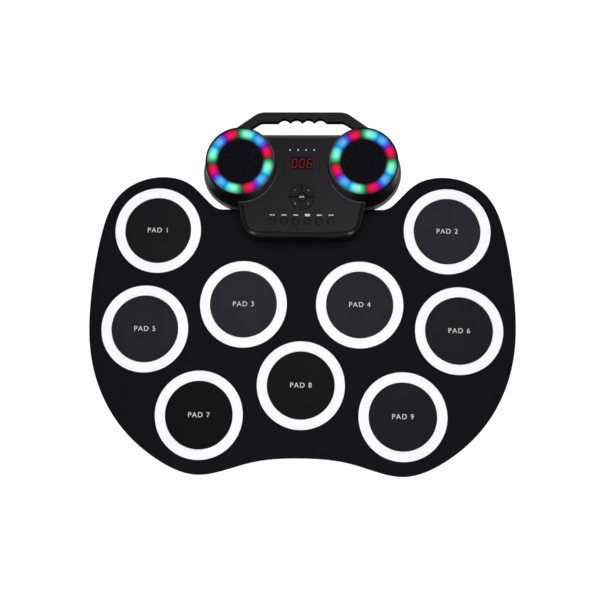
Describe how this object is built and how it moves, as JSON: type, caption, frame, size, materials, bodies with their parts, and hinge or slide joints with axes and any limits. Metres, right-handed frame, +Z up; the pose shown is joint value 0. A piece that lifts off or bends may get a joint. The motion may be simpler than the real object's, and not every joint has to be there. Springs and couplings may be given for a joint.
{
  "type": "electronic drum pad",
  "caption": "Roll-up electronic drum pad: round strike pads with white rings in a thin black mat, and a console with lit speaker pods, display, keys and a handle.",
  "frame": {"origin": "on the table, under the middle of the whole object", "axes": "+X to the player's right along the mat's width, +Y away from the player towards the handle, +Z up"},
  "size_m": [0.4595, 0.3861, 0.0546],
  "materials": {
    "mat_silicone": "matt black silicone rubber with a fine soft-touch grain",
    "strike_pad": "matt charcoal silicone rubber, slightly lighter than the mat",
    "ring_white": "matt white silicone rubber",
    "console_plastic": "matt dark grey ABS with a fine spark texture",
    "handle_plastic": "matt dark grey ABS",
    "grille_plastic": "matt black perforated plastic",
    "light_diffuser": "frosted translucent polycarbonate, lit from below",
    "window_acrylic": "smoked acrylic",
    "display_plastic": "black face with red segments",
    "lamp_plastic": "clear lamp",
    "key_plastic": "matt black ABS",
    "circuit_board": "green laminate",
    "speaker_steel": "black pressed steel",
    "cone_paper": "black paper cone",
    "magnet_ferrite": "bare ferrite",
    "screw_steel": "zinc plated",
    "foot_rubber": "matt black",
    "fitting_plastic": "black",
    "socket_steel": "plated shell",
    "battery_wrap": "blue shrink wrap",
    "key_rubber": "grey silicone",
    "sensor_film": "clear amber film with printed tracks",
    "sensor_foam": "dark foam disc"
  },
  "bodies": {
    "body": {"audio_jacks": "fitting_plastic", "base_sheet": "mat_silicone", "battery": "battery_wrap", "board_screws": "screw_steel", "bottom_shell": "console_plastic", "case_screws": "screw_steel", "display_module": "display_plastic", "display_window": "window_acrylic", "handle": "handle_plastic", "indicator_lamps": "lamp_plastic", "key_membrane": "key_rubber", "left_grille": "grille_plastic", "left_light_board": "circuit_board", "left_light_ring": "light_diffuser", "left_magnet": "magnet_ferrite", "left_pod": "console_plastic", "left_speaker_cone": "cone_paper", "left_speaker_frame": "speaker_steel", "main_board": "circuit_board", "mat_ribbon": "sensor_film", "mat_screws": "screw_steel", "pad_rings": "ring_white", "pedal_jacks": "fitting_plastic", "ribbon_socket": "fitting_plastic", "right_grille": "grille_plastic", "right_light_board": "circuit_board", "right_light_ring": "light_diffuser", "right_magnet": "magnet_ferrite", "right_pod": "console_plastic", "right_speaker_cone": "cone_paper", "right_speaker_frame": "speaker_steel", "rubber_feet": "foot_rubber", "sensor_discs": "sensor_foam", "sensor_film": "sensor_film", "tact_switches": "fitting_plastic", "top_sheet": "mat_silicone", "top_shell": "console_plastic", "usb_socket": "socket_steel"},
    "crash_pad_left": {"crash_pad_left": "strike_pad"},
    "crash_pad_right": {"crash_pad_right": "strike_pad"},
    "tom_pad_left": {"tom_pad_left": "strike_pad"},
    "tom_pad_right": {"tom_pad_right": "strike_pad"},
    "hi_hat_pad": {"hi_hat_pad": "strike_pad"},
    "ride_pad": {"ride_pad": "strike_pad"},
    "snare_pad": {"snare_pad": "strike_pad"},
    "bass_pad": {"bass_pad": "strike_pad"},
    "floor_tom_pad": {"floor_tom_pad": "strike_pad"},
    "key_1": {"key_1": "key_plastic"},
    "key_2": {"key_2": "key_plastic"},
    "key_3": {"key_3": "key_plastic"},
    "key_4": {"key_4": "key_plastic"},
    "key_5": {"key_5": "key_plastic"},
    "key_6": {"key_6": "key_plastic"},
    "nav_key_up_right": {"nav_key_up_right": "key_plastic"},
    "nav_key_up_left": {"nav_key_up_left": "key_plastic"},
    "nav_key_down_left": {"nav_key_down_left": "key_plastic"},
    "nav_key_down_right": {"nav_key_down_right": "key_plastic"},
    "nav_key_centre": {"nav_key_centre": "key_plastic"},
    "power_switch": {"power_switch": "fitting_plastic"}
  },
  "joints": [
    {"name": "crash_pad_left_press", "type": "slide", "parent": "body", "child": "crash_pad_left", "axis": [0, 0, -1], "range_m": [0, 0.0005], "stiffness_N_per_m": 4000, "springref_m": -0.0004},
    {"name": "crash_pad_right_press", "type": "slide", "parent": "body", "child": "crash_pad_right", "axis": [0, 0, -1], "range_m": [0, 0.0005], "stiffness_N_per_m": 4000, "springref_m": -0.0004},
    {"name": "tom_pad_left_press", "type": "slide", "parent": "body", "child": "tom_pad_left", "axis": [0, 0, -1], "range_m": [0, 0.0005], "stiffness_N_per_m": 4000, "springref_m": -0.0004},
    {"name": "tom_pad_right_press", "type": "slide", "parent": "body", "child": "tom_pad_right", "axis": [0, 0, -1], "range_m": [0, 0.0005], "stiffness_N_per_m": 4000, "springref_m": -0.0004},
    {"name": "hi_hat_pad_press", "type": "slide", "parent": "body", "child": "hi_hat_pad", "axis": [0, 0, -1], "range_m": [0, 0.0005], "stiffness_N_per_m": 4000, "springref_m": -0.0004},
    {"name": "ride_pad_press", "type": "slide", "parent": "body", "child": "ride_pad", "axis": [0, 0, -1], "range_m": [0, 0.0005], "stiffness_N_per_m": 4000, "springref_m": -0.0004},
    {"name": "snare_pad_press", "type": "slide", "parent": "body", "child": "snare_pad", "axis": [0, 0, -1], "range_m": [0, 0.0005], "stiffness_N_per_m": 4000, "springref_m": -0.0004},
    {"name": "bass_pad_press", "type": "slide", "parent": "body", "child": "bass_pad", "axis": [0, 0, -1], "range_m": [0, 0.0005], "stiffness_N_per_m": 4000, "springref_m": -0.0004},
    {"name": "floor_tom_pad_press", "type": "slide", "parent": "body", "child": "floor_tom_pad", "axis": [0, 0, -1], "range_m": [0, 0.0005], "stiffness_N_per_m": 4000, "springref_m": -0.0004},
    {"name": "key_1_press", "type": "slide", "parent": "body", "child": "key_1", "axis": [0, 0, -1], "range_m": [0, 0.0005], "stiffness_N_per_m": 1500, "springref_m": -0.0004},
    {"name": "key_2_press", "type": "slide", "parent": "body", "child": "key_2", "axis": [0, 0, -1], "range_m": [0, 0.0005], "stiffness_N_per_m": 1500, "springref_m": -0.0004},
    {"name": "key_3_press", "type": "slide", "parent": "body", "child": "key_3", "axis": [0, 0, -1], "range_m": [0, 0.0005], "stiffness_N_per_m": 1500, "springref_m": -0.0004},
    {"name": "key_4_press", "type": "slide", "parent": "body", "child": "key_4", "axis": [0, 0, -1], "range_m": [0, 0.0005], "stiffness_N_per_m": 1500, "springref_m": -0.0004},
    {"name": "key_5_press", "type": "slide", "parent": "body", "child": "key_5", "axis": [0, 0, -1], "range_m": [0, 0.0005], "stiffness_N_per_m": 1500, "springref_m": -0.0004},
    {"name": "key_6_press", "type": "slide", "parent": "body", "child": "key_6", "axis": [0, 0, -1], "range_m": [0, 0.0005], "stiffness_N_per_m": 1500, "springref_m": -0.0004},
    {"name": "nav_key_up_right_press", "type": "slide", "parent": "body", "child": "nav_key_up_right", "axis": [0, 0, -1], "range_m": [0, 0.0005], "stiffness_N_per_m": 1500, "springref_m": -0.0004},
    {"name": "nav_key_up_left_press", "type": "slide", "parent": "body", "child": "nav_key_up_left", "axis": [0, 0, -1], "range_m": [0, 0.0005], "stiffness_N_per_m": 1500, "springref_m": -0.0004},
    {"name": "nav_key_down_left_press", "type": "slide", "parent": "body", "child": "nav_key_down_left", "axis": [0, 0, -1], "range_m": [0, 0.0005], "stiffness_N_per_m": 1500, "springref_m": -0.0004},
    {"name": "nav_key_down_right_press", "type": "slide", "parent": "body", "child": "nav_key_down_right", "axis": [0, 0, -1], "range_m": [0, 0.0005], "stiffness_N_per_m": 1500, "springref_m": -0.0004},
    {"name": "nav_key_centre_press", "type": "slide", "parent": "body", "child": "nav_key_centre", "axis": [0, 0, -1], "range_m": [0, 0.0005], "stiffness_N_per_m": 1500, "springref_m": -0.0004},
    {"name": "power_switch_slide", "type": "slide", "parent": "body", "child": "power_switch", "axis": [1, 0, 0], "range_m": [0, 0.003]}
  ]
}
